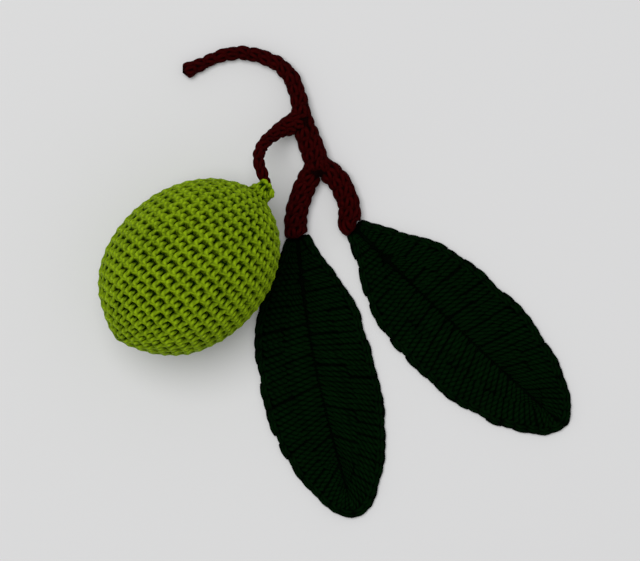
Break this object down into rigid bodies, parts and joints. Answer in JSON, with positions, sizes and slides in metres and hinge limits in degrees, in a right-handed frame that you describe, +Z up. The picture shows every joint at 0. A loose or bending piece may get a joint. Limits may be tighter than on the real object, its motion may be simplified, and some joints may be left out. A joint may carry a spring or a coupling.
{
  "type": "crocheted lime with twig and leaves",
  "caption": "Stuffed crocheted lime lying on its side, its nipple held by a thin stalk of a branched crocheted twig that carries long crocheted leaves.",
  "frame": {"origin": "on the flattened spot where the stuffed lime rests, straight below the lime's middle", "axes": "+Z up from the surface that the part lies on; +X from the lime towards the leaves' tips, +Y towards the twig's free end"},
  "size_m": [0.1496, 0.1509, 0.0491],
  "materials": {
    "lime_yarn": "matt lime green acrylic yarn in single crochet",
    "fibre_fill": "white polyester fibre fill",
    "twig_yarn": "matt maroon brown yarn in slip stitch cord",
    "leaf_yarn": "matt very dark green yarn in ribbed crochet"
  },
  "bodies": {
    "root": {"lime_cover": "lime_yarn", "lime_stuffing": "fibre_fill", "twig": "twig_yarn", "leaf_left": "leaf_yarn", "leaf_right": "leaf_yarn"}
  },
  "joints": []
}
